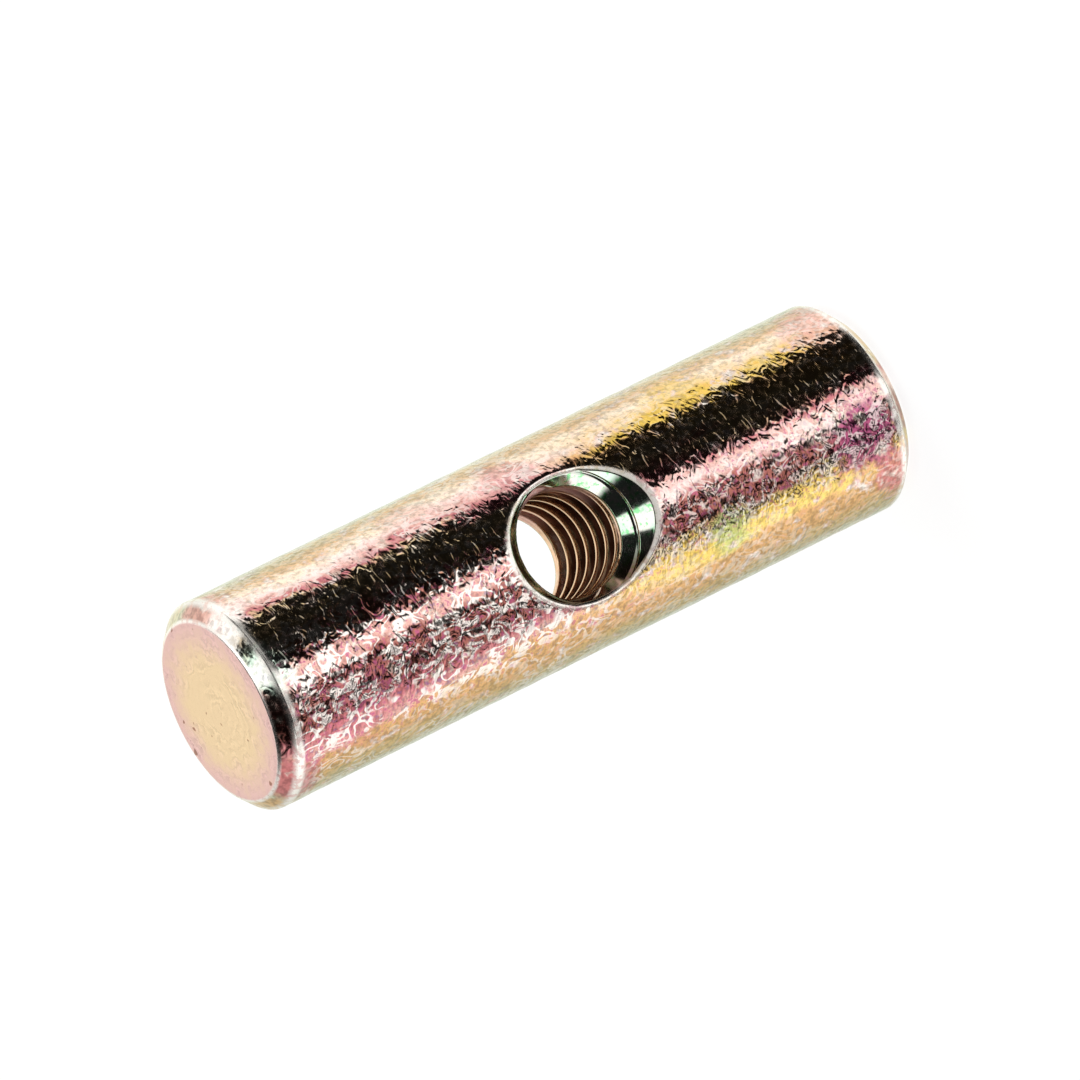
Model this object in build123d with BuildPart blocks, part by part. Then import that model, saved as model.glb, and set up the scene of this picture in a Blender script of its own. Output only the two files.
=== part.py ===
from build123d import *
from build123d.topology import SkipClean
from math import radians, sqrt, tan
import os

# Barrel nut (cross dowel): a turned steel pin with a threaded hole across its middle.
# It stands on one end. +Z runs along the barrel and the origin is the centre of the lower end.
# The cross hole runs along Y and is the same from both sides. All sizes are in millimetres.

# Barrel
barrel_diameter = 10.0
barrel_length = 35.0
end_chamfer = 0.7  # at 45 degrees, both ends
shoulder_radius = 0.3  # where an end chamfer meets the barrel

# Cross hole, with an M6 coarse thread
thread_diameter = 6.0
thread_pitch = 1.0

# Countersink at each mouth of the hole, down to the thread's crests
countersink_diameter = 7.6  # across the top of the barrel
countersink_angle = 82.0

# An internal ISO thread is 5/8 as deep as the sharp triangle of its pitch is high,
# and its crests stand at the minor diameter. The hole is bored to that diameter.
triangle_height = thread_pitch * sqrt(3) / 2
minor_radius = thread_diameter / 2 - 5 / 8 * triangle_height

barrel_radius = barrel_diameter / 2
hole_height = barrel_length / 2  # the hole's axis is at mid-length
countersink_radius = countersink_diameter / 2

# Heights along the hole, measured outwards from the barrel's axis
countersink_slope = tan(radians(countersink_angle / 2))
countersink_foot = barrel_radius - (countersink_radius - minor_radius) / countersink_slope
cutter_overrun = 1.0  # how far the hole's section stands out past the barrel
cutter_top = barrel_radius + cutter_overrun
cutter_radius = countersink_radius + cutter_overrun * countersink_slope

hole_centre = (0, 0, hole_height)
hole_axis = Axis(hole_centre, (0, 1, 0))

# SkipClean keeps the barrel's wall as two bands that meet at the height of the hole,
# so that the fit on each side of the hole has a face of its own.
with SkipClean():
    with BuildPart() as barrel_nut:
        # Barrel: half of its lengthwise section up to mid-length,
        # mirrored to the upper end and turned about its axis
        with BuildSketch(Plane.XZ) as barrel_section:
            with BuildLine():
                Polyline(
                    (0, 0),
                    (barrel_radius, 0),
                    (barrel_radius, hole_height),
                    (0, hole_height),
                    close=True,
                )
            make_face()
            end_corner = barrel_section.vertices().group_by(Axis.X)[-1].sort_by(Axis.Y)[0]
            chamfer(end_corner, end_chamfer)
            shoulder = barrel_section.vertices().group_by(Axis.X)[-1].sort_by(Axis.Y)[0]
            fillet(shoulder, shoulder_radius)
        revolve(axis=Axis.Z)
        mirror(about=Plane.XY.offset(hole_height))

        # Cross hole: half of its section from the middle out to one mouth,
        # mirrored to the other mouth and turned about the hole's axis
        with BuildSketch(Plane(hole_centre, x_dir=(0, 0, 1), z_dir=(1, 0, 0))) as hole_section:
            with BuildLine():
                Polyline(
                    (0, 0),
                    (minor_radius, 0),
                    (minor_radius, countersink_foot),
                    (cutter_radius, cutter_top),
                    (0, cutter_top),
                    close=True,
                )
            make_face()
            mirror(about=Plane.XZ)
        revolve(axis=hole_axis, mode=Mode.SUBTRACT)

barrel_nut.part.label = "barrel_nut"

os.makedirs("parts", exist_ok=True)
export_step(barrel_nut.part, "parts/barrel_nut.step")
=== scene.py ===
"""Barrel nut: the looks. One dense mesh of the turned, cross-drilled and tapped pin, with its
yellow-chromated zinc finish. The metal reflects a studio of bright and dark panels, and the camera
sees white round it.

The frame is the CAD part's: it stands on one end, +Z runs along the barrel, the origin is the centre
of the lower end, and the hole runs along Y. Lengths are in millimetres until the mesh is made.
"""

from collections import namedtuple
from math import cos, exp, pi, radians, sin, sqrt, tan

import bmesh
import bpy
import numpy as np
from mathutils import Matrix, Vector, noise


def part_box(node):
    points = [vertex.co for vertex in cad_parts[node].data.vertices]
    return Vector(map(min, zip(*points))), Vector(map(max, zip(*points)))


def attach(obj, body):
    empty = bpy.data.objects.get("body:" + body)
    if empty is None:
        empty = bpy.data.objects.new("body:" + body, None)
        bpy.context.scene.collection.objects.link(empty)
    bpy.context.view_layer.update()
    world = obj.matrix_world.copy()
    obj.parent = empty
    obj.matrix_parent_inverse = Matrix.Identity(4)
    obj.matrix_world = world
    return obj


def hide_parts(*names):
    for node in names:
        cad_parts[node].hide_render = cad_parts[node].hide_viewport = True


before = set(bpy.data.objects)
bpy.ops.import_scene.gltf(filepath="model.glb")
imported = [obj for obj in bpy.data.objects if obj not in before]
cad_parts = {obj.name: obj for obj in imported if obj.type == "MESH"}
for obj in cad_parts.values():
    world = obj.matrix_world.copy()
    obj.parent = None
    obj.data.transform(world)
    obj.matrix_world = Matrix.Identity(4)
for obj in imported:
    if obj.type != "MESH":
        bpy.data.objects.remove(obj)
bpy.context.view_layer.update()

MM = 0.001
NODE = "barrel_nut"

# ---------------------------------------------------------------- sizes, from the frame and the part

node_low, node_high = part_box(NODE)
BARREL_LENGTH = (node_high.z - node_low.z) / MM
BARREL_RADIUS = min(node_high.x, node_high.y, -node_low.x, -node_low.y) / MM
MIDDLE = BARREL_LENGTH / 2

END_CHAMFER = 0.7
END_CHAMFER_ANGLE = radians(45)
SHOULDER_RADIUS = 0.3
EDGE_SOFTNESS = 0.12  # how far the worn edge of an end face reaches, each way
CHAMFER_STOPS = (0.3, 0.6)  # the chamfer's own rings, on the way from the shoulder to the face

THREAD_RADIUS = 3.0
THREAD_PITCH = 1.0
CREST_RADIUS = THREAD_RADIUS - 5 / 8 * THREAD_PITCH * sqrt(3) / 2
CREST_START = -0.12  # a crest's place along the hole, at the side nearest the lower end
COUNTERSINK_RADIUS = 3.8  # where its cone reaches the height of the barrel's crown
COUNTERSINK_SLOPE = tan(radians(82 / 2))
COUNTERSINK_FOOT = BARREL_RADIUS - (COUNTERSINK_RADIUS - CREST_RADIUS) / COUNTERSINK_SLOPE

CREST_REACH = 0.11  # how far down the flanks the crests keep their bright colour, above the grooves' painted shade
THREAD_END = 3.25  # where the grooves stop, from the barrel's axis
RUN_OUT = 0.2  # and the length over which they fade out
FIRST_TURN_RADIUS = 2.93  # the groove's broken first turn, on the side nearest the upper end
FIRST_TURN_FADE = 2.5  # how fast it fades round the hole
FIRST_TURN_SHARE = 0.4  # how much of it is left halfway between the two ends
NICK_HEIGHT = 4.04  # the thin tool mark round the countersink
NICK_DEPTH = 0.05
NICK_WIDTH = 0.05

RIM_ROUNDING = 0.36  # how far the mouth's rounding reaches out on the wall, towards the barrel's ends
RIM_NARROWING = 0.19  # and how much less than that where the wall curves away
RIM_DEPTH = 0.16  # how far down into the countersink it goes
RIM_FULLNESS = 0.40  # 1 for a round edge, 0 for a flat bevel
RIM_WEAR_PLACE = 0.56  # where the rim is barest: 0 at the wall, 1 in the countersink
RIM_WEAR_WIDTH = 0.25

RELIEF_DEPTH = 0.03  # the tumbled wall's soft hollows
RELIEF_SCALE = 1.1  # hollows in a millimetre

# What each point of the mesh belongs to, from 0 to 1. The material reads these by name.
ZONES = ("wear", "thread", "crest", "entry", "face", "turned")
WEAR_REACH = 0.3  # from a shoulder, along the barrel
SHOULDER_WEAR = 1.7  # above 1, wear is full over part of its reach
EDGE_WEAR = 1.3
SHOULDER_WEAR_PLACE = 0.1  # how far past the chamfer it is barest, in shoulder radii
TURNED_REACH = 0.1  # how far past the chamfer its smooth finish goes
FACE_DEPTH = 0.02  # how far from the end a point still belongs to the end face
WALL_DEPTH = 0.02  # how far below the wall's radius a point still belongs to the wall
FILM_START = 2.5  # from here outwards along the hole, the grooves' painted shade gives way to the film's colour
FILM_REACH = 0.9
FILM_SHARE = 0.5

# ---------------------------------------------------------------- mesh density

CORNER_STEPS = 80  # enough for the mouth's corner to settle
PATCH_CELLS = 60  # cells along each side of the square patch that surrounds a mouth
PATCH_ANGLE = radians(66)  # half the patch's width, round the barrel
SECTORS = 4 * PATCH_CELLS
PATCH_HALF = BARREL_RADIUS * PATCH_ANGLE
CELL = 2 * PATCH_HALF / PATCH_CELLS
GAP_CELLS = round((pi - 2 * PATCH_ANGLE) * BARREL_RADIUS / CELL)
PATCH_RINGS = 16
PATCH_EASING = 1.15  # above 1, the rings lie closer together towards the mouth
RIM_RINGS = 10
THREAD_RINGS = 110
CONE_RINGS = 32
SHOULDER_RINGS = 8
EDGE_RINGS = 7
FACE_RINGS = 24


def sector_points():
    """The square patch's border points, unrolled: distance round the barrel and along it."""
    step = np.arange(PATCH_CELLS) * CELL - PATCH_HALF
    side = np.full(PATCH_CELLS, PATCH_HALF)
    across = np.concatenate([side, -step, -side, step])
    along = np.concatenate([step, side, -step, -side])
    return across, along


SQUARE_ACROSS, SQUARE_ALONG = sector_points()
TURN = np.arctan2(SQUARE_ALONG, SQUARE_ACROSS)  # each sector's direction round the hole


def wall_height(r):
    """How far from the barrel's axis plane its wall stands, at distance r from the hole's axis."""
    return np.sqrt(BARREL_RADIUS**2 - (r * np.cos(TURN)) ** 2)


def cone_radius(height):
    """The countersink's radius at a height along the hole, measured from the barrel's axis."""
    return COUNTERSINK_RADIUS - (BARREL_RADIUS - np.abs(height)) * COUNTERSINK_SLOPE


def mouth_corner():
    """Radius and height, in every sector, where the countersink meets the barrel's wall."""
    r = np.full(SECTORS, CREST_RADIUS)
    for _ in range(CORNER_STEPS):
        r = cone_radius(wall_height(r))
    return r, wall_height(r)


def thread_radius(height):
    """The right-hand thread's radius in every sector, at that height along the hole towards -Y."""
    turns = (TURN + pi / 2) / (2 * pi)
    phase = (height - CREST_START) / THREAD_PITCH - turns
    from_crest = np.abs((phase + 0.5) % 1 - 0.5) * THREAD_PITCH
    flank = (from_crest - THREAD_PITCH / 8) * sqrt(3)
    depth = THREAD_RADIUS - CREST_RADIUS
    return CREST_RADIUS + soft_clip(flank / depth) * depth


def soft_clip(x, soft=0.12):
    """x held between 0 and 1, with the two corners rounded."""
    low = 0.5 * (x + np.sqrt(x**2 + soft**2))
    return 0.5 * (low + 1 - np.sqrt((low - 1) ** 2 + soft**2))


def hole_radius(height):
    """The hole's radius in every sector: the thread, or the countersink where that is wider."""
    inside = np.clip((THREAD_END - np.abs(height)) / RUN_OUT, 0, 1)
    thread = CREST_RADIUS + (thread_radius(height) - CREST_RADIUS) * inside
    nick = NICK_DEPTH * np.exp(-(((np.abs(height) - NICK_HEIGHT) / NICK_WIDTH) ** 2))
    below = np.clip((NICK_HEIGHT - np.abs(height)) / RUN_OUT, 0, 1)
    above = np.clip((np.abs(height) - THREAD_END + RUN_OUT) / RUN_OUT, 0, 1)
    first_turn = np.clip(np.sin(TURN) * FIRST_TURN_FADE + FIRST_TURN_SHARE, 0, 1) * below * above
    broken = CREST_RADIUS + (FIRST_TURN_RADIUS - CREST_RADIUS) * first_turn
    return np.maximum(np.maximum(thread, broken), cone_radius(height) + nick)


def rim_stations(side):
    """(radius, height, zones) of the rings over one mouth's rounded rim, from the wall inwards."""
    corner_r, corner_h = mouth_corner()
    outer_r = corner_r + RIM_ROUNDING - RIM_NARROWING * np.cos(TURN) ** 2
    outer_h = wall_height(outer_r)
    inner_h = corner_h - RIM_DEPTH
    inner_r = hole_radius(inner_h * side)
    rings = []
    for u in np.linspace(0, 1, RIM_RINGS):
        outer, corner, inner = (1 - u) ** 2, 2 * u * (1 - u) * RIM_FULLNESS, u**2
        whole = outer + corner + inner
        r = (outer * outer_r + corner * corner_r + inner * inner_r) / whole
        h = (outer * outer_h + corner * corner_h + inner * inner_h) / whole
        wear = exp(-(((u - RIM_WEAR_PLACE) / RIM_WEAR_WIDTH) ** 2))
        rings.append((r, h * side, {"wear": wear, "entry": max(0, u * 2 - 1)}))
    return rings


def hole_stations(front_h, back_h):
    """(radius, height, zones) of the rings between the two rims, whose inner heights are given."""
    rings = []
    inside = COUNTERSINK_FOOT
    for u in np.linspace(0, 1, CONE_RINGS + 1)[1:]:
        h = front_h + (inside - front_h) * u
        rings.append((hole_radius(h), h, {"entry": 1}))
    for h in np.linspace(inside, -inside, THREAD_RINGS + 1)[1:-1]:
        heights = np.full(SECTORS, h)
        r = hole_radius(heights)
        crest = np.clip(1 - (r - CREST_RADIUS) / CREST_REACH, 0, 1)
        film = float(np.clip((abs(h) - FILM_START) / FILM_REACH, 0, 1)) * FILM_SHARE
        rings.append((r, heights, {"thread": 1 - film, "crest": crest}))
    for u in np.linspace(1, 0, CONE_RINGS + 1)[:-1]:
        h = back_h - (inside + back_h) * u
        rings.append((hole_radius(h), h, {"entry": 1}))
    return rings


def hole_point(r, height):
    """Points in sectors' directions, height towards -Y."""
    return np.stack([r * np.cos(TURN), -height, MIDDLE + r * np.sin(TURN)], axis=1)


def wall_point(across, along, side):
    """Points on the barrel's wall from the unrolled patch. side is 1 for -Y and -1 for +Y."""
    angle = across / BARREL_RADIUS
    return np.stack(
        [BARREL_RADIUS * np.sin(angle), -side * BARREL_RADIUS * np.cos(angle), MIDDLE + along],
        axis=1,
    )


class MeshMaker:
    """Collects points and faces."""

    def __init__(self):
        self.points = []
        self.faces = []
        self.zones = {name: [] for name in ZONES}
        self.count = 0

    def ring(self, points, **zones):
        """Adds points and gives back their numbers."""
        first = self.count
        self.points.append(points)
        self.count += len(points)
        for name, values in self.zones.items():
            values.append(np.full(len(points), 1.0) * zones.get(name, 0.0))
        return list(range(first, self.count))

    def bridge(self, one, two):
        """Quads between two closed rings of the same length."""
        for i in range(len(one)):
            j = (i + 1) % len(one)
            self.faces.append((one[i], one[j], two[j], two[i]))


def patch_and_rim(maker, side, border):
    """One side's patch and rim. Gives back the rim's innermost ring and its heights."""
    stations = rim_stations(side)
    rim_r = stations[0][0]
    rim_across = BARREL_RADIUS * np.arcsin(rim_r * np.cos(TURN) / BARREL_RADIUS)
    rim_along = rim_r * np.sin(TURN)
    last = border
    for k in range(1, PATCH_RINGS):
        u = 1 - (1 - k / PATCH_RINGS) ** PATCH_EASING
        across = SQUARE_ACROSS + (rim_across - SQUARE_ACROSS) * u
        along = SQUARE_ALONG + (rim_along - SQUARE_ALONG) * u
        ring = maker.ring(wall_point(across, along, side))
        maker.bridge(last, ring)
        last = ring
    for r, h, zones in stations:
        ring = maker.ring(hole_point(r, h), **zones)
        maker.bridge(last, ring)
        last = ring
    return last, stations[-1][1]


def wall_angles():
    """The angle round the barrel of each column of the wall's grid, from the -Y patch's first column."""
    patch = np.linspace(-PATCH_ANGLE, PATCH_ANGLE, PATCH_CELLS + 1)
    gap = np.linspace(PATCH_ANGLE, pi - PATCH_ANGLE, GAP_CELLS + 1)
    return np.concatenate([patch[:-1], gap[:-1], patch[:-1] + pi, gap[:-1] + pi])


ANGLES = wall_angles()


def turned_ring(r, z):
    """A ring of the barrel's own grid columns, at radius r and height z."""
    return np.stack([r * np.sin(ANGLES), -r * np.cos(ANGLES), np.full(len(ANGLES), z)], axis=1)


def end_profile():
    """(radius, distance from the end) from the wall over the shoulder and chamfer to the face."""
    reach = SHOULDER_RADIUS * tan(END_CHAMFER_ANGLE / 2)
    centre_r = BARREL_RADIUS - SHOULDER_RADIUS
    centre_d = END_CHAMFER + reach
    points = []
    for a in np.linspace(0, END_CHAMFER_ANGLE, SHOULDER_RINGS):
        points.append((centre_r + SHOULDER_RADIUS * cos(a), centre_d - SHOULDER_RADIUS * sin(a)))
    face = BARREL_RADIUS - END_CHAMFER
    start_r, start_d = points[-1]
    for u in CHAMFER_STOPS:
        points.append((start_r + (face - start_r) * u, start_d * (1 - u)))
    for u in np.linspace(0, 1, EDGE_RINGS):
        points.append((face + EDGE_SOFTNESS * (1 - 2 * u), EDGE_SOFTNESS * (1 - u) ** 2))
    for r in np.linspace(face - EDGE_SOFTNESS, 0, FACE_RINGS + 1)[1:-1]:
        points.append((r, 0))
    return points


def end_zones(r, depth):
    """The zones of a ring: wear on the shoulder and on the face's edge, the face, and the chamfer."""
    shoulder = END_CHAMFER + SHOULDER_RADIUS * SHOULDER_WEAR_PLACE
    by_shoulder = max(0.0, 1 - abs(depth - shoulder) / WEAR_REACH) * SHOULDER_WEAR
    by_edge = max(0.0, 1 - abs(r - BARREL_RADIUS + END_CHAMFER) / EDGE_SOFTNESS) * EDGE_WEAR
    return {
        "wear": min(1.0, max(by_shoulder, by_edge)),
        "face": float(depth < FACE_DEPTH),
        "turned": float(FACE_DEPTH < depth < END_CHAMFER + TURNED_REACH),
    }


HALF_TURN = PATCH_CELLS + GAP_CELLS  # columns from one patch's first column to the other's
COLUMNS = len(ANGLES)
WALL_END = end_profile()[0][1]  # where the plain wall gives way to the shoulder


def band_grid(maker):
    """The rows of point numbers at the hole's height. Inside a patch they hold None."""
    heights = np.linspace(MIDDLE - PATCH_HALF, MIDDLE + PATCH_HALF, PATCH_CELLS + 1)
    bottom = maker.ring(turned_ring(BARREL_RADIUS, heights[0]))
    top = maker.ring(turned_ring(BARREL_RADIUS, heights[-1]))
    kept = [c for c in range(COLUMNS) if not 0 < c % HALF_TURN < PATCH_CELLS]
    grid = [bottom]
    for z in heights[1:-1]:
        row = [None] * COLUMNS
        for c, number in zip(kept, maker.ring(turned_ring(BARREL_RADIUS, z)[kept])):
            row[c] = number
        grid.append(row)
    return grid + [top]


def fill_gaps(maker, grid):
    """The wall's faces at the hole's height, between the two patches."""
    for lower, upper in zip(grid, grid[1:]):
        for c in range(COLUMNS):
            d = (c + 1) % COLUMNS
            if c % HALF_TURN >= PATCH_CELLS:
                maker.faces.append((lower[c], lower[d], upper[d], upper[c]))


def make_end(maker, edge, upper):
    """The wall from the band's edge to one end, its shoulder, its chamfer and its face."""

    def height(depth):
        return BARREL_LENGTH - depth if upper else depth

    def add_ring(last, r, z, depth):
        ring = maker.ring(turned_ring(r, z), **end_zones(r, depth))
        pair = (last, ring) if upper else (ring, last)
        maker.bridge(*pair)
        return ring

    band_edge = MIDDLE + PATCH_HALF if upper else MIDDLE - PATCH_HALF
    plain_rows = round((MIDDLE - PATCH_HALF - WALL_END) / CELL)
    last = edge
    for z in np.linspace(band_edge, height(WALL_END), plain_rows + 1)[1:]:
        depth = BARREL_LENGTH - z if upper else z
        last = add_ring(last, BARREL_RADIUS, z, depth)
    for r, depth in end_profile()[1:]:
        last = add_ring(last, r, height(depth), depth)
    centre = maker.ring(np.array([[0, 0, height(0)]]), face=1)[0]
    for c in range(COLUMNS):
        face = (last[c], last[(c + 1) % COLUMNS], centre)
        maker.faces.append(face if upper else face[::-1])


def make_hole(maker, grid):
    """Both mouths with their patches and rims, and the hole between them."""
    front_border = patch_border(grid, 0, 1)
    back_border = patch_border(grid, HALF_TURN, -1)
    front, front_h = patch_and_rim(maker, 1, front_border)
    back, back_h = patch_and_rim(maker, -1, back_border)
    last = front
    for r, h, zones in hole_stations(front_h, back_h):
        ring = maker.ring(hole_point(r, h), **zones)
        maker.bridge(last, ring)
        last = ring
    maker.bridge(last, back)


def build_mesh():
    maker = MeshMaker()
    grid = band_grid(maker)
    fill_gaps(maker, grid)
    make_end(maker, grid[-1], True)
    make_end(maker, grid[0], False)
    make_hole(maker, grid)
    return maker


def patch_border(grid, first, side):
    """The border's vertex numbers in sector order. Sectors go from +X towards +Z."""
    n = PATCH_CELLS

    def column(across_cell):
        # across_cell counts from -X to +X; on the back the grid's columns run the other way
        step = across_cell if side > 0 else n - across_cell
        return (first + step) % COLUMNS

    right = [grid[k][column(n)] for k in range(n)]
    upper = [grid[n][column(n - k)] for k in range(n)]
    left = [grid[n - k][column(0)] for k in range(n)]
    lower = [grid[0][column(k)] for k in range(n)]
    return right + upper + left + lower


def relief(points):
    """The points with soft hollows pressed into the barrel's wall."""
    out = np.hypot(points[:, 0], points[:, 1])
    for i in np.nonzero(out > BARREL_RADIUS - WALL_DEPTH)[0]:
        x, y, z = points[i]
        swell = noise.noise(Vector((x, y, z)) * RELIEF_SCALE)
        hollow = RELIEF_DEPTH * (0.5 + 0.5 * max(-1.0, min(1.0, swell)))
        points[i, :2] *= 1 - hollow / BARREL_RADIUS
    return points


def make_object():
    maker = build_mesh()
    points = relief(np.concatenate(maker.points)) * MM
    mesh = bpy.data.meshes.new("plated_barrel_nut")
    mesh.from_pydata(points.tolist(), [], maker.faces)
    mesh.validate()
    obj = bpy.data.objects.new("plated_barrel_nut", mesh)
    bpy.context.scene.collection.objects.link(obj)
    work = bmesh.new()
    work.from_mesh(mesh)
    bmesh.ops.recalc_face_normals(work, faces=work.faces)
    work.to_mesh(mesh)
    work.free()
    mesh.shade_smooth()
    for name, values in maker.zones.items():
        layer = mesh.attributes.new(name, "FLOAT", "POINT")
        layer.data.foreach_set("value", np.concatenate(values))
    return obj


nut = make_object()
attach(nut, "root")
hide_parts(NODE)

# ---------------------------------------------------------------- shader helpers

# The Mix node has sockets for each kind of value. These are the factor's and the colours'.
MIX_FACTOR, MIX_A, MIX_B, MIX_RESULT = 0, 6, 7, 2


class Shader:
    """Short calls for the nodes of one tree. A value is a number or another node's output."""

    def __init__(self, tree):
        self.tree = tree

    def node(self, kind, settings=None, values=None):
        made = self.tree.nodes.new(kind)
        for name, value in (settings or {}).items():
            setattr(made, name, value)
        for name, value in (values or {}).items():
            self.set(made.inputs[name], value)
        return made

    def set(self, socket, value):
        if isinstance(value, bpy.types.NodeSocket):
            self.tree.links.new(value, socket)
        else:
            socket.default_value = value

    def math(self, operation, *values, clamp=False):
        made = self.node("ShaderNodeMath", {"operation": operation, "use_clamp": clamp})
        for socket, value in zip(made.inputs, values):
            self.set(socket, value)
        return made.outputs[0]

    def product(self, *values):
        result = values[0]
        for value in values[1:]:
            result = self.math("MULTIPLY", result, value)
        return result

    def total(self, *values):
        result = values[0]
        for value in values[1:]:
            result = self.math("ADD", result, value)
        return result

    def inverse(self, value):
        """1 less the value."""
        return self.math("SUBTRACT", 1.0, value)

    def line(self, value, slope, start):
        """The value times slope, plus start."""
        return self.math("ADD", self.math("MULTIPLY", value, slope), start)

    def rise(self, value, low, high):
        """0 below low, 1 above high, smooth between. low may be above high."""
        values = {"Value": value, "From Min": low, "From Max": high}
        made = self.node("ShaderNodeMapRange", {"interpolation_type": "SMOOTHSTEP"}, values)
        return made.outputs[0]

    def band(self, value, low, high, soft):
        """1 between low and high, 0 outside, with soft edges."""
        up = self.rise(value, low - soft, low + soft)
        down = self.rise(value, high + soft, high - soft)
        return self.math("MULTIPLY", up, down)

    def dot(self, vector, direction):
        made = self.node("ShaderNodeVectorMath", {"operation": "DOT_PRODUCT"})
        self.set(made.inputs[0], vector)
        made.inputs[1].default_value = direction
        return made.outputs["Value"]

    def scaled(self, vector, scale):
        """The vector with its three numbers scaled."""
        return self.node("ShaderNodeMapping", None, {"Vector": vector, "Scale": scale}).outputs[0]

    def split(self, vector):
        """The vector's three numbers."""
        return self.node("ShaderNodeSeparateXYZ", None, {"Vector": vector}).outputs

    def noise(self, vector, scale, detail=2.0, roughness=0.5, distortion=0.0):
        values = {
            "Vector": vector,
            "Scale": scale,
            "Detail": detail,
            "Roughness": roughness,
            "Distortion": distortion,
        }
        return self.node("ShaderNodeTexNoise", None, values).outputs[0]

    def mix(self, factor, a, b, blend="MIX"):
        """Two colours mixed. Each is three numbers or another node's output."""
        made = self.node("ShaderNodeMix", {"data_type": "RGBA", "blend_type": blend})
        self.set(made.inputs[MIX_FACTOR], factor)
        for i, colour in ((MIX_A, a), (MIX_B, b)):
            self.set(made.inputs[i], (*colour, 1) if isinstance(colour, tuple) else colour)
        return made.outputs[MIX_RESULT]

    def ramp(self, value, stops):
        made = self.node("ShaderNodeValToRGB", None, {"Fac": value})
        elements = made.color_ramp.elements
        elements.remove(elements[1])
        for i, (place, colour) in enumerate(stops):
            element = elements[0] if i == 0 else elements.new(place)
            element.position = place
            element.color = (*colour, 1)
        return made.outputs["Color"]


# ---------------------------------------------------------------- material

SAGE = (0.61, 0.62, 0.46)
OLIVE = (0.62, 0.45, 0.19)
OCHRE = (0.68, 0.40, 0.17)
AMBER = (0.80, 0.54, 0.11)
HONEY = (0.92, 0.67, 0.20)
APRICOT = (0.82, 0.54, 0.30)
TAN = (0.72, 0.54, 0.30)
BLUSH = (0.98, 0.80, 0.60)
BLOSSOM = (1.0, 0.73, 0.66)
PETAL = (0.86, 0.61, 0.56)
ROSE = (0.76, 0.43, 0.37)
RASPBERRY = (0.57, 0.18, 0.20)
WINE = (0.42, 0.15, 0.12)
MAGENTA = (0.43, 0.09, 0.21)
VIOLET = (0.40, 0.22, 0.46)
LEAF = (0.46, 0.60, 0.22)
CREAM = (1.0, 0.95, 0.88)
GOLD = (0.87, 0.64, 0.39)
COPPER = (0.79, 0.50, 0.47)
PINK = (0.96, 0.58, 0.52)
# A dark brown that paints shade in the thread's grooves and on the countersinks' -X side, and colours
# the face's pits. The darker one paints the grooves' deepest shade, towards -X.
SHADE_AND_PIT_BROWN = (0.27, 0.09, 0.05)
DEEPEST_SHADE_BROWN = (0.09, 0.03, 0.015)
CREST = (0.98, 0.66, 0.41)
MINT = (0.74, 0.94, 0.77)
VERDANT = (0.34, 0.86, 0.40)

# Along this side of the barrel, and along the one opposite, the film is at its rosiest: it has
# magenta and violet specks and its palest curls.
ROSE_SIDE = (-0.24, -0.97, 0)
TOOL_RING = 0.45  # between the rings that facing leaves on the ends

# The film's tints round the wall: degrees from -Y towards +X, the tint of the upper half of the
# barrel, and that of the lower half.
TINTS = (
    (-180, ROSE, APRICOT),
    (-150, APRICOT, ROSE),
    (-110, TAN, GOLD),
    (-84, SAGE, SAGE),
    (-70, OLIVE, OLIVE),
    (-58, OCHRE, OCHRE),
    (-46, OCHRE, OCHRE),
    (-39, ROSE, HONEY),
    (-30, RASPBERRY, AMBER),
    (-25, WINE, OLIVE),
    (-22, WINE, WINE),
    (-10, WINE, WINE),
    (-3, ROSE, PETAL),
    (6, ROSE, ROSE),
    (12, WINE, RASPBERRY),
    (22, TAN, TAN),
    (34, TAN, OCHRE),
    (38, RASPBERRY, AMBER),
    (43, ROSE, AMBER),
    (49, BLOSSOM, GOLD),
    (57, BLUSH, BLUSH),
    (63, APRICOT, APRICOT),
    (72, TAN, TAN),
    (86, SAGE, SAGE),
    (120, APRICOT, ROSE),
    (180, ROSE, APRICOT),
)
# Soft patches of colour over them: centre, radius, colour, share. The last three are painted highlights.
PATCHES = (
    ((-1.7, -4.7, 2.6), 2.7, MAGENTA, 0.9),
    ((-2.4, -4.4, 31.0), 3.0, RASPBERRY, 0.6),
    ((-2.7, -4.2, 10.4), 1.8, LEAF, 0.7),
    ((3.7, -3.4, 9.5), 2.6, AMBER, 0.7),
    ((3.9, -3.1, 1.5), 3.0, ROSE, 0.8),
    ((-3.6, -3.4, 1.0), 2.2, RASPBERRY, 0.8),
    ((3.7, -3.4, 19.0), 2.4, RASPBERRY, 0.6),
    ((3.9, -3.1, 24.0), 2.2, ROSE, 0.5),
    ((-3.9, -2.4, 34.7), 2.6, RASPBERRY, 0.9),
    ((-4.6, 0.5, 34.7), 2.2, OCHRE, 0.9),
    ((4.3, -1.6, 34.7), 2.2, ROSE, 0.9),
    # painted highlights on the upper end's chamfer: a mint glint with a cream core, and a cream
    # reflection beside it
    ((0.8, -4.5, 34.7), 2.1, MINT, 1.0),
    ((3.1, -3.4, 34.8), 1.9, CREAM, 0.9),
    ((0.7, -4.5, 34.7), 1.0, CREAM, 0.7),
)


# The place in millimetres, and the patterns that the material's parts share.
Grain = namedtuple("Grain", "place mottle speck curls")

HALVES_SOFTNESS = (3.5, 2.5)  # below and above the middle, where the two columns of TINTS blend
SPECULAR_TINT = (0.93, 0.98, 0.88, 1)
BUMP_DISTANCE = 0.070
FACE_CALM = 0.84  # how much of the tumbled relief the end faces lack
FULL_CALM = 0.97  # how much of the bump's strength the thread, the countersinks and wear lack
TURNED_CALM = 0.62  # the chamfers' share of that

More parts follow.
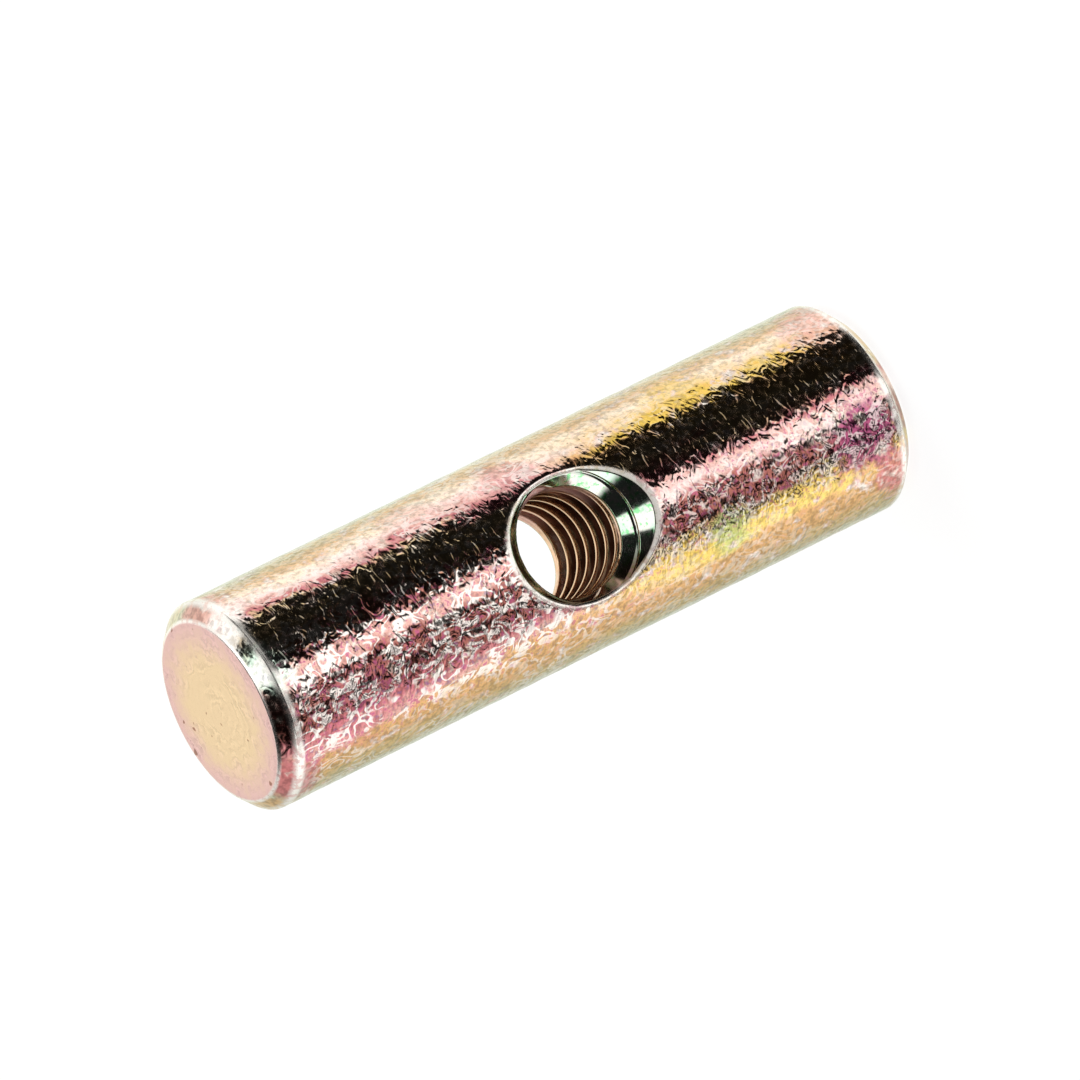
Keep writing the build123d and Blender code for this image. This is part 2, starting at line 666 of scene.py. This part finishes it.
# Roughness: that of the smoothest film, and what each thing adds to it.
SMOOTHEST = 0.05
MOTTLE_ROUGHNESS = 0.10
SPECK_ROUGHNESS = 0.10
WEAR_ROUGHNESS = 0.14
GROOVE_ROUGHNESS = 0.22
OUTER_ROUGHNESS = 0.45


def patch_share(s, place, centre, radius):
    """1 at a patch's centre, falling to 0 at its radius."""
    away = s.node("ShaderNodeVectorMath", {"operation": "DISTANCE"})
    s.set(away.inputs[0], place)
    away.inputs[1].default_value = centre
    return s.rise(away.outputs["Value"], radius, radius * 0.2)


def tint_round(s, angle, shift, column):
    """The wall's tint by angle, from one column of TINTS."""
    turned = s.total(s.math("MULTIPLY", angle, 0.5 / pi), shift, 0.5)
    stops = [((row[0] + 180) / 360, row[column]) for row in TINTS]
    return s.ramp(turned, stops)


def film_tints(s, place, streak, wobble, upper):
    """The film's tints round the wall, with their soft patches of colour."""
    x, y, _ = s.split(place)
    angle = s.math("ARCTAN2", x, s.math("MULTIPLY", y, -1.0))
    shift = s.total(s.math("MULTIPLY", streak, 0.09), s.math("MULTIPLY", wobble, 0.06))
    colour = s.mix(upper, tint_round(s, angle, shift, 2), tint_round(s, angle, shift, 1))
    for centre, radius, tint, share in PATCHES:
        near = s.math("ADD", patch_share(s, place, centre, radius), s.math("MULTIPLY", wobble, 2.0))
        near = s.math("MULTIPLY", s.rise(near, 0.1, 0.9), share)
        colour = s.mix(near, colour, tint)
    return colour


def film_specks(s, colour, speck, rosy, tumbled):
    """The colour with magenta and violet specks, most of all where the film is rosy."""
    sparkle = s.line(rosy, 0.6, 0.15)
    sparkle = s.product(s.rise(speck, 0.53, 0.66), sparkle, tumbled)
    colour = s.mix(sparkle, colour, MAGENTA)
    cool = s.product(s.rise(speck, 0.42, 0.30), rosy, tumbled, 0.5)
    return s.mix(cool, colour, VIOLET)


def wall_colour(s, grain, tumbled):
    """The chromate film on the wall, with the pale curls that tumbling leaves."""
    place, mottle, speck, curls = grain
    streak = s.math("SUBTRACT", s.noise(s.scaled(place, (1, 1, 0.20)), 0.55, 2.0, 0.5), 0.5)
    wobble = s.math("SUBTRACT", mottle, 0.5)
    below, above = HALVES_SOFTNESS
    half = s.math("ADD", s.split(place)[2], s.math("MULTIPLY", streak, 16.0))
    upper = s.rise(half, MIDDLE - below, MIDDLE + above)
    front = s.math("ABSOLUTE", s.math("DIVIDE", s.dot(place, ROSE_SIDE), BARREL_RADIUS))
    front = s.total(front, s.math("MULTIPLY", wobble, 0.10), s.math("MULTIPLY", upper, 0.12))
    rosy = s.rise(front, 0.84, 1.02)
    colour = film_tints(s, place, streak, wobble, upper)
    colour = film_specks(s, colour, speck, rosy, tumbled)
    colour = s.mix(1.0, colour, s.line(s.rise(speck, 0.36, 0.60), 0.40, 0.74), "MULTIPLY")
    worn = s.rise(s.noise(place, 0.3), 0.42, 0.58)
    pale = s.math("MAXIMUM", rosy, s.line(worn, 0.35, 0.25))
    pale = s.math("MULTIPLY", pale, s.line(upper, 0.35, 0.65))
    return s.mix(s.product(curls, pale, tumbled, 0.80), colour, CREAM)


def surface_grain(s):
    coords = s.node("ShaderNodeTexCoord")
    scaled = s.node("ShaderNodeVectorMath", {"operation": "SCALE"})
    s.set(scaled.inputs[0], coords.outputs["Object"])
    scaled.inputs["Scale"].default_value = 1 / MM
    place = scaled.outputs[0]
    curled_place = s.scaled(place, (1.2, 1.2, 0.85))
    curled = s.noise(curled_place, 1.2, 1.5, 0.45, 1.4)
    curled = s.math("ABSOLUTE", s.math("SUBTRACT", curled, 0.5))
    broken = s.rise(s.noise(curled_place, 0.9), 0.38, 0.48)
    curls = s.math("MULTIPLY", s.rise(curled, 0.080, 0.040), broken)
    return Grain(place, s.noise(place, 1.3, 3.0, 0.6), s.noise(place, 3.6, 2.0, 0.6), curls)


def face_radius(s, grain):
    """The distance from the barrel's axis, a little uneven."""
    length = s.node("ShaderNodeVectorMath", {"operation": "LENGTH"})
    s.set(length.inputs[0], s.scaled(grain.place, (1, 1, 0)))
    uneven = s.math("MULTIPLY", s.math("SUBTRACT", grain.mottle, 0.5), 2.0)
    return s.math("ADD", length.outputs["Value"], uneven)


def tool_rings(s, grain, out, face):
    """The faint rings of the facing cut: from -1 in a groove to 1 on a ridge, and 0 off the faces."""
    ringed = s.math("SINE", s.math("MULTIPLY", out, 2 * pi / TOOL_RING))
    return s.math("MULTIPLY", ringed, s.math("MULTIPLY", s.rise(grain.mottle, 0.42, 0.62), face))


def face_colour(s, grain, out, rings):
    """Gold in the middle and rosy at the edge, with dark pits and the tool's rings."""
    colour = s.mix(s.rise(out, 2.1, 4.3), GOLD, COPPER)
    pits = s.math("MULTIPLY", s.rise(s.noise(grain.place, 1.9, 1.0, 0.5), 0.27, 0.23), 0.8)
    colour = s.mix(pits, colour, SHADE_AND_PIT_BROWN)
    return s.mix(1.0, colour, s.inverse(s.math("MULTIPLY", rings, 0.10)), "MULTIPLY")


def thread_colour(s, x, outer, crest):
    """Painted shade in the grooves, darkest towards -X, with bright crests, and pink near the mouths on
    the +X side.
    """
    # painted shade in the grooves, deepest towards -X
    colour = s.mix(s.rise(x, 1.6, -0.8), SHADE_AND_PIT_BROWN, DEEPEST_SHADE_BROWN)
    colour = s.mix(crest, colour, CREST)
    return s.mix(s.math("MULTIPLY", outer, 0.9), colour, PINK)


def cone_colour(s, grain, x):
    """The countersinks: pale, with green specks, and painted shade towards -X."""
    colour = s.mix(s.rise(grain.mottle, 0.40, 0.62), MINT, CREAM)
    colour = s.mix(s.rise(grain.speck, 0.50, 0.66), colour, VERDANT)
    # painted shade on the countersinks' -X side
    return s.mix(s.math("MULTIPLY", s.rise(x, -1.1, -2.4), 0.85), colour, SHADE_AND_PIT_BROWN)


def roughness(s, grain, zone, outer):
    outside = s.inverse(s.math("ADD", zone["thread"], zone["entry"], clamp=True))
    deep = s.product(zone["thread"], s.inverse(zone["crest"]), GROOVE_ROUGHNESS)
    return s.total(
        s.product(grain.mottle, MOTTLE_ROUGHNESS),
        s.product(s.rise(grain.speck, 0.48, 0.62), outside, SPECK_ROUGHNESS),
        s.product(zone["wear"], WEAR_ROUGHNESS),
        s.math("ADD", deep, s.product(zone["thread"], outer, OUTER_ROUGHNESS)),
        SMOOTHEST,
    )


def relief_normal(s, grain, zone, rings):
    """Bump of the tumbled wall, and of the tool's rings on the end faces."""
    worms = s.noise(s.scaled(grain.place, (0.75, 0.75, 1.35)), 1.75, 1.3, 0.5, 1.2)
    share = s.inverse(s.math("MULTIPLY", zone["face"], FACE_CALM))
    height = s.total(s.product(worms, share), s.math("MULTIPLY", rings, 0.05))
    turned = s.product(zone["turned"], TURNED_CALM)
    smooth = s.total(zone["thread"], zone["entry"], zone["wear"], turned)
    strength = s.math("SUBTRACT", 1.0, s.math("MULTIPLY", smooth, FULL_CALM), clamp=True)
    values = {"Distance": BUMP_DISTANCE * MM, "Height": height, "Strength": strength}
    return s.node("ShaderNodeBump", None, values).outputs["Normal"]


def surface_colour(s, grain, zone, rings, out, outer):
    x = s.split(grain.place)[0]
    colour = wall_colour(s, grain, s.inverse(zone["turned"]))
    colour = s.mix(zone["face"], colour, face_colour(s, grain, out, rings))
    colour = s.mix(zone["thread"], colour, thread_colour(s, x, outer, zone["crest"]))
    colour = s.mix(zone["entry"], colour, cone_colour(s, grain, x))
    kept_film = s.inverse(s.product(s.rise(grain.speck, 0.48, 0.60), 0.45))
    return s.mix(s.product(zone["wear"], kept_film), colour, CREAM)


def make_material():
    material = bpy.data.materials.new("yellow_zinc_steel")
    material.use_nodes = True
    s = Shader(material.node_tree)
    zone = {}
    for name in ZONES:
        zone[name] = s.node("ShaderNodeAttribute", {"attribute_name": name}).outputs["Fac"]
    grain = surface_grain(s)
    out = face_radius(s, grain)
    rings = tool_rings(s, grain, out, zone["face"])
    x, y, _ = s.split(grain.place)
    outer = s.product(s.rise(s.math("ABSOLUTE", y), 1.5, 2.6), s.rise(x, 0.6, 1.8))
    shader = material.node_tree.nodes["Principled BSDF"]
    s.set(shader.inputs["Base Color"], surface_colour(s, grain, zone, rings, out, outer))
    s.set(shader.inputs["Roughness"], roughness(s, grain, zone, outer))
    s.set(shader.inputs["Normal"], relief_normal(s, grain, zone, rings))
    shader.inputs["Metallic"].default_value = 1.0
    shader.inputs["Specular Tint"].default_value = SPECULAR_TINT
    return material


nut.data.materials.append(make_material())

# ---------------------------------------------------------------- studio and camera

VIEW_AZIMUTH = radians(0.5)
VIEW_ELEVATION = radians(27.7)
VIEW_ROLL = radians(116.12)
VIEW_DISTANCE = 774.0
LENS = 583.9
OFF_RIGHT = -0.095
OFF_DOWN = 0.69


def make_camera():
    data = bpy.data.cameras.new("camera")
    data.lens = LENS
    data.sensor_width = 36
    data.clip_start = 0.01
    data.clip_end = 10
    camera = bpy.data.objects.new("camera", data)
    bpy.context.scene.collection.objects.link(camera)
    back = Vector(
        (
            sin(VIEW_AZIMUTH) * cos(VIEW_ELEVATION),
            -cos(VIEW_AZIMUTH) * cos(VIEW_ELEVATION),
            sin(VIEW_ELEVATION),
        )
    )
    level_right = Vector((cos(VIEW_AZIMUTH), sin(VIEW_AZIMUTH), 0))
    level_up = back.cross(level_right)
    up = level_up * cos(VIEW_ROLL) + level_right * sin(VIEW_ROLL)
    right = level_right * cos(VIEW_ROLL) - level_up * sin(VIEW_ROLL)
    centre = Vector((0, 0, MIDDLE))
    place = (centre - right * OFF_RIGHT + up * OFF_DOWN + back * VIEW_DISTANCE) * MM
    turn = Matrix((right, up, back)).transposed().to_4x4()
    camera.matrix_world = Matrix.Translation(place) @ turn
    bpy.context.scene.camera = camera


FLOOR_SIZE = 40
FLOOR_GREY = (0.30, 0.30, 0.30, 1)
FLOOR_GLOW = 0.88  # seen by the camera alone, so it lights nothing


def make_floor():
    bpy.ops.mesh.primitive_plane_add(size=FLOOR_SIZE)
    floor = bpy.context.object
    floor.name = "floor"
    # the metal reflects the studio through the floor, and is lit through it
    floor.visible_glossy = False
    floor.visible_shadow = False
    material = bpy.data.materials.new("floor")
    material.use_nodes = True
    tree = material.node_tree
    tree.nodes.clear()
    s = Shader(tree)
    out = s.node("ShaderNodeOutputMaterial")
    cloth = s.node("ShaderNodeBsdfDiffuse", None, {"Color": FLOOR_GREY})
    path = s.node("ShaderNodeLightPath")
    glow = s.math("MULTIPLY", path.outputs["Is Camera Ray"], FLOOR_GLOW)
    lit = s.node("ShaderNodeEmission", None, {"Strength": glow})
    both = s.node("ShaderNodeAddShader")
    s.set(both.inputs[0], cloth.outputs[0])
    s.set(both.inputs[1], lit.outputs[0])
    s.set(out.inputs["Surface"], both.outputs[0])
    floor.data.materials.append(material)


# The photograph's table lies under the barrel's side. These are its directions in the row frame:
# up from the table, and along it towards the camera. The barrel's own +Z is the third.
TABLE_UP = Vector((0.711, -0.703, 0))
TABLE_NEAR = Vector((-0.703, -0.711, 0))
DARK = 0.012
PANEL_SOFTNESS = 2  # degrees, each way from a panel's edge

# A direction's parts: x, y and z in the row frame, up and near along the table's directions, and
# lean, the angle from the table's up, positive away from the camera.
Sky = namedtuple("Sky", "x y z up near lean")


def panel(s, lean, low, high):
    """1 between two leans in degrees, 0 outside, with soft edges."""
    return s.band(lean, radians(low), radians(high), radians(PANEL_SOFTNESS))


def table_light(s, sky):
    """The table under the barrel: duller straight down, beyond the barrel and at its near edge."""
    steep = s.math("ABSOLUTE", sky.lean)
    graze = s.rise(steep, radians(172), radians(122))  # 0 straight down, 1 towards the table's edges
    camera_side = s.line(s.rise(sky.near, -0.05, 0.05), 0.18, 0.82)
    near_edge = s.inverse(s.math("MULTIPLY", s.rise(sky.near, 0.72, 0.86), 0.30))
    shine = s.line(graze, 0.50, 0.92)
    below, end = s.rise(sky.up, -0.16, -0.23), s.rise(sky.z, 0.76, 0.62)
    return s.product(below, shine, camera_side, near_edge, end, 1.15)


def back_light(s, sky):
    """The panel beyond the barrel. Its top is lowest between the middle and the upper end."""
    shine = s.line(s.rise(sky.lean, radians(85), radians(62)), 0.30, 1.15)
    low = s.product(panel(s, sky.lean, 33, 112), s.rise(sky.z, 0.04, -0.06))
    high = s.product(panel(s, sky.lean, 46, 112), s.rise(sky.z, -0.06, 0.04))
    end = s.product(panel(s, sky.lean, 31, 46), s.rise(sky.z, 0.58, 0.66))
    return s.product(s.total(low, high, end), s.rise(sky.up, -0.23, -0.16), shine)


def front_light(s, sky, low_half):
    """The panel on the camera's side, brighter towards the barrel's lower end."""
    level = s.line(low_half, 0.9, 0.8)
    return s.product(panel(s, sky.lean, -59, -33), s.rise(sky.z, 0.60, 0.50), level)


def slit_light(s, sky, low_half):
    """Two narrow slits below the front panel, towards the barrel's lower end."""
    slits = s.total(
        s.product(panel(s, sky.lean, -80, -69), 1.45),
        s.product(panel(s, sky.lean, -97, -90), 1.45),
    )
    return s.product(slits, low_half)


def end_light(s, sky):
    """The panel that faces the barrel's upper end."""
    wide, deep = s.band(sky.x, -0.01, 0.43, 0.02), s.band(sky.y, -0.52, 0.40, 0.02)
    return s.product(wide, deep, s.rise(sky.z, 0.70, 0.74), 1.5)


def overhead_light(s, sky):
    return s.product(s.rise(sky.up, 0.84, 0.88), s.band(sky.z, -0.15, 0.50, 0.03), 0.6)


def studio_level(s, direction):
    """How bright the studio is in each direction."""
    up = s.dot(direction, TABLE_UP)
    near = s.dot(direction, TABLE_NEAR)
    lean = s.math("ARCTAN2", s.math("MULTIPLY", near, -1.0), up)
    sky = Sky(*s.split(direction), up, near, lean)
    low_half = s.rise(sky.z, 0.02, -0.02)
    return s.total(
        table_light(s, sky),
        back_light(s, sky),
        front_light(s, sky, low_half),
        slit_light(s, sky, low_half),
        end_light(s, sky),
        overhead_light(s, sky),
        DARK,
    )


def make_world():
    """The studio that the metal reflects. The camera itself sees plain white."""
    world = bpy.data.worlds.new("studio")
    bpy.context.scene.world = world
    world.use_nodes = True
    tree = world.node_tree
    tree.nodes.clear()
    s = Shader(tree)
    out = s.node("ShaderNodeOutputWorld")
    direction = s.node("ShaderNodeTexCoord").outputs["Generated"]
    studio = s.node("ShaderNodeBackground", None, {"Strength": studio_level(s, direction)})
    white = s.node("ShaderNodeBackground")
    white.inputs["Color"].default_value = (1, 1, 1, 1)
    mix = s.node("ShaderNodeMixShader")
    path = s.node("ShaderNodeLightPath")
    s.set(mix.inputs[0], path.outputs["Is Camera Ray"])
    s.set(mix.inputs[1], studio.outputs[0])
    s.set(mix.inputs[2], white.outputs[0])
    s.set(out.inputs["Surface"], mix.outputs[0])


make_camera()
make_floor()
make_world()

scene = bpy.context.scene
scene.view_settings.view_transform = "Standard"
